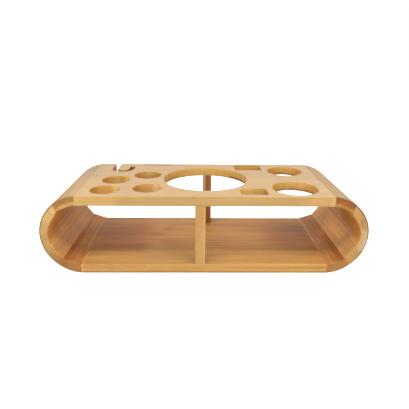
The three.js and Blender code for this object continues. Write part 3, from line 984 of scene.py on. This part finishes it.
def across_joint(seam, side, play=0.0):
    """Section of the spline across a joint, on its own side of the caddy."""
    (mx, mz), (dx, dz), (nx, nz) = seam
    reach, half = SPLINE_REACH + play, SPLINE_T / 2 + play
    corners = rectangle(-reach, reach, -half, half)
    points = [(mx + nx * a + dx * b, mz + nz * a + dz * b) for a, b in corners]
    if area(points) <= 0:
        points.reverse()
    return points if side > 0 else [(-x, z) for x, z in reversed(points)]


def block_groove(seam, side):
    reach = SPLINE_HALF_LENGTH + PLAY
    return cutter(across_joint(seam, side, PLAY), -reach, reach, "XZ")


def fullness(points):
    """Shares of a nearly sharp rim beside the boards, fully rounded half way up the end."""
    out = []
    for x, _ in points:
        t = min(1.0, max(0.0, (x - (TOP_JOINT + 1.0)) / (HALF_LENGTH - TOP_JOINT - 5.0)))
        out.append(0.30 + 0.70 * t * t * (3 - 2 * t))
    return out


def eased_shares(points, first, middle, last):
    """Rounding shares that ease to the middle's over a quarter of the run at either end."""
    n = len(points)
    return [middle + (first - middle) * max(0.0, 1 - i / (0.25 * n))
            + (last - middle) * max(0.0, 1 - (n - 1 - i) / (0.25 * n)) for i in range(n)]


def end_piece(name, parts, side):
    """parts: runs of the right-hand outline in order, each with a share for each of its points."""
    merge = 0.06  # points closer than this become one
    points, shares = [], []
    for run, run_shares in parts:
        for point, share in zip(run, run_shares):
            if points and math.dist(points[-1], point) < merge:
                points.pop()
                shares.pop()
            points.append(point)
            shares.append(share)
    if math.dist(points[0], points[-1]) < merge:
        points.pop()
        shares.pop()
    if area(points) < 0:
        points, shares = turned(points, shares)
    if side < 0:
        points, shares = turned([(-x, z) for x, z in points], shares)
    return prism(name, [loop(points, shares, 4.0)], -HALF_DEPTH, HALF_DEPTH,
                 END_ROUNDING, END_ROUNDING, "XZ", step=10.0, grid=3.6)


# ------------------------------------------------------------------ rounded ends
def top_corner(side_name, side):
    ceiling = smooth_line([UPPER_CREASE] + CEILING, 4)
    ceiling[0] = off(UPPER_CREASE, UPPER, -GAP)
    ceiling[-1] = (TOP_JOINT + GAP, ceiling[-1][1])
    seam = off(UPPER_OUT, UPPER, -GAP)
    rim = outer_arc(on_outer(TOP_JOINT + GAP, True), seam)
    piece = end_piece(side_name + "_top_corner", [
        (rim, fullness(rim)),
        ([seam], [END_SHARE]),
        (ceiling[:-1], eased_shares(ceiling[:-1], 0.40, 0.34, 0.28)),
        ([ceiling[-1]], [END_SHARE]),
    ], side)
    carve(piece, [board_groove(side_name + "_top_board_spline"), block_groove(UPPER, side)])
    finish_piece(piece, "bamboo_" + side_name + "_top_corner",
                 side_name + "_top_corner_block")


def side_block(side_name, side):
    inner = smooth_line([LOWER_CREASE] + SIDE_INNER + [UPPER_CREASE], 3)
    inner[0] = off(LOWER_CREASE, LOWER, -GAP)
    inner[-1] = off(UPPER_CREASE, UPPER, GAP)
    seam = off(LOWER_OUT, LOWER, -GAP)
    rim = outer_arc(off(UPPER_OUT, UPPER, GAP), seam)
    piece = end_piece(side_name + "_side", [
        (rim, fullness(rim)),
        ([seam], [END_SHARE]),
        (inner[:-1], eased_shares(inner[:-1], 0.36, 0.62, 0.40)),
        ([inner[-1]], [END_SHARE]),
    ], side)
    carve(piece, [block_groove(UPPER, side), block_groove(LOWER, side)])
    finish_piece(piece, "bamboo_" + side_name + "_side", side_name + "_side_block")


def bottom_corner(side_name, side):
    foot = on_outer(BOTTOM_JOINT + GAP, False)
    rim = outer_arc(off(LOWER_OUT, LOWER, GAP), foot)
    piece = end_piece(side_name + "_bottom_corner", [
        ([(BOTTOM_JOINT + GAP, BOTTOM_T)], [0.32]),
        ([off(LOWER_CREASE, LOWER, GAP)], [END_SHARE]),
        (rim, fullness(rim)),
        ([foot], [END_SHARE]),
    ], side)
    carve(piece, [board_groove(side_name + "_bottom_board_spline"), block_groove(LOWER, side)])
    finish_piece(piece, "bamboo_" + side_name + "_bottom_corner",
                 side_name + "_bottom_corner_block")


def spline(node, outline, low, high):
    piece = prism(node + "_strip", [outline], low, high, 0.22, 0.22, "XZ",
                  segments=3, hold=0.08, grid=2.0)
    finish_piece(piece, "beech_joinery", node)


def splines(side_name, side):
    for node in (side_name + "_top_board_spline", side_name + "_bottom_board_spline"):
        low, high = BOARD_SPLINES[node]
        outline = rectangle(low[0], high[0], low[2], high[2], SPLINE_CORNER, 3)
        spline(node, loop(outline), low[1], high[1])
    for place, seam in (("_upper", UPPER), ("_lower", LOWER)):
        outline = loop(eased(across_joint(seam, side), SPLINE_CORNER), None, 2.0)
        spline(side_name + place + "_block_spline", outline,
               -SPLINE_HALF_LENGTH, SPLINE_HALF_LENGTH)


for side_name, side in (("left", -1), ("right", 1)):
    top_corner(side_name, side)
    side_block(side_name, side)
    bottom_corner(side_name, side)
    splines(side_name, side)


# ------------------------------------------------------------------ posts and fluted dowels
def post(node):
    low, high = packed_box(node)
    outline = loop(rectangle(low[0], high[0], low[1], high[1], 0.7), None, 3.0)
    piece = prism(node + "_upright", [outline], BOTTOM_T + GAP, TOP_UNDERSIDE - GAP, 0.06, 0.06,
                  segments=2, hold=0.3, step=4.0, grid=2.4)
    carve(piece, [socket(node + "_top_dowel"), socket(node + "_bottom_dowel")])
    finish_piece(piece, "bamboo_" + node, node)


def dowel(node):
    flutes, flute_depth, slack, n = 18, 0.22, 0.02, 144
    low, high = packed_box(node)
    cx, cy, radius = dowel_size(low, high)
    points = []
    for i in range(n):
        t = 2 * PI * i / n
        q = radius - slack - flute_depth * max(0.0, math.cos(flutes * t)) ** 1.5
        points.append((cx + q * math.cos(t), cy + q * math.sin(t)))
    piece = prism(node + "_fluted", [loop(points)], low[2], high[2], 0.7, 0.7,
                  segments=4, hold=0.3, step=3.0, grid=1.2, fluted=((cx, cy), radius))
    finish_piece(piece, "beech_joinery_upright", node)


for name in ("front_post", "rear_post"):
    post(name)
for name in ("front_post", "rear_post"):
    dowel(name + "_top_dowel")
    dowel(name + "_bottom_dowel")


# ------------------------------------------------------------------ camera, in metres
def add_camera():
    data = bpy.data.cameras.new("camera")
    data.sensor_width = 36.0
    data.lens = 35.5362
    data.clip_start, data.clip_end = 0.01, 20.0
    camera = bpy.data.objects.new("camera", data)
    bpy.context.scene.collection.objects.link(camera)
    right = Vector((0.99981812, -0.01634478, 0.00982777))
    up = Vector((-0.00375515, 0.33650433, 0.94167443))
    back = right.cross(up)
    place = (-0.0083434, -0.4337205, 0.2068135)
    camera.matrix_world = Matrix((*zip(right, up, back, place), (0, 0, 0, 1)))
    bpy.context.scene.camera = camera


# ------------------------------------------------------------------ plain studio, in metres
def add_floor():
    half, z = 4, -0.0002
    mesh = bpy.data.meshes.new("floor")
    corners = [(x, y, z) for x, y in rectangle(-half, half, -half, half)]
    mesh.from_pydata(corners, [], [(0, 1, 2, 3)])
    floor = bpy.data.objects.new("floor", mesh)
    bpy.context.scene.collection.objects.link(floor)
    material = new_material("floor_paint")
    graph = Graph(material.node_tree)
    paint = graph.node("ShaderNodeBsdfPrincipled", {
        "Base Color": (0.90, 0.90, 0.90), "Roughness": 0.9, "Specular IOR Level": 0.1})
    # a glow that only the camera sees
    seen = graph.node("ShaderNodeLightPath", output="Is Camera Ray")
    glow = graph.node("ShaderNodeEmission", {"Strength": seen * 0.85})
    both = graph.node("ShaderNodeAddShader", {0: paint, 1: glow})
    graph.add_node("ShaderNodeOutputMaterial", {0: both})
    mesh.materials.append(material)


def add_world():
    """White to the camera; the light tent is brightest towards the back."""
    world = bpy.data.worlds.new("studio")
    bpy.context.scene.world = world
    world.use_nodes = True
    graph = Graph(world.node_tree)
    way = graph.node("ShaderNodeTexCoord", output="Generated")
    backwards = graph.split("ShaderNodeSeparateXYZ", way)[1]
    strength = graph.ramp(backwards, 0.05, 0.95, low=0.82, high=1.22)
    tent = graph.node("ShaderNodeBackground", {"Color": (0.98, 0.99, 1.0), "Strength": strength})
    white = graph.node("ShaderNodeBackground", {"Color": (1, 1, 1), "Strength": 1.0})
    seen = graph.node("ShaderNodeLightPath", output="Is Camera Ray")
    mixed = graph.node("ShaderNodeMixShader", {0: seen, 1: tent, 2: white})
    graph.add_node("ShaderNodeOutputWorld", {0: mixed})


def softbox(name, location, target, size, power):
    data = bpy.data.lights.new(name, "AREA")
    data.shape, data.size, data.size_y = "RECTANGLE", size[0], size[1]
    data.energy, data.color = power, (1.0, 0.95, 0.88)
    lamp = bpy.data.objects.new(name, data)
    lamp.location = location
    aim = Vector(target) - Vector(location)
    lamp.rotation_euler = aim.to_track_quat("-Z", "Y").to_euler()
    bpy.context.scene.collection.objects.link(lamp)


add_camera()
add_floor()
add_world()
softbox("strip_front", location=(0.0, -0.31, 0.62), target=(0, -0.02, 0.04),
        size=(0.70, 0.16), power=2.15)
for name, side in (("key_left", -1), ("key_right", 1)):
    softbox(name, location=(side * 0.42, -0.30, 0.58), target=(side * 0.06, 0, 0.04),
            size=(0.20, 0.14), power=1.1)

view = bpy.context.scene.view_settings
view.view_transform = "Standard"
view.look = "None"
view.exposure = 0.0
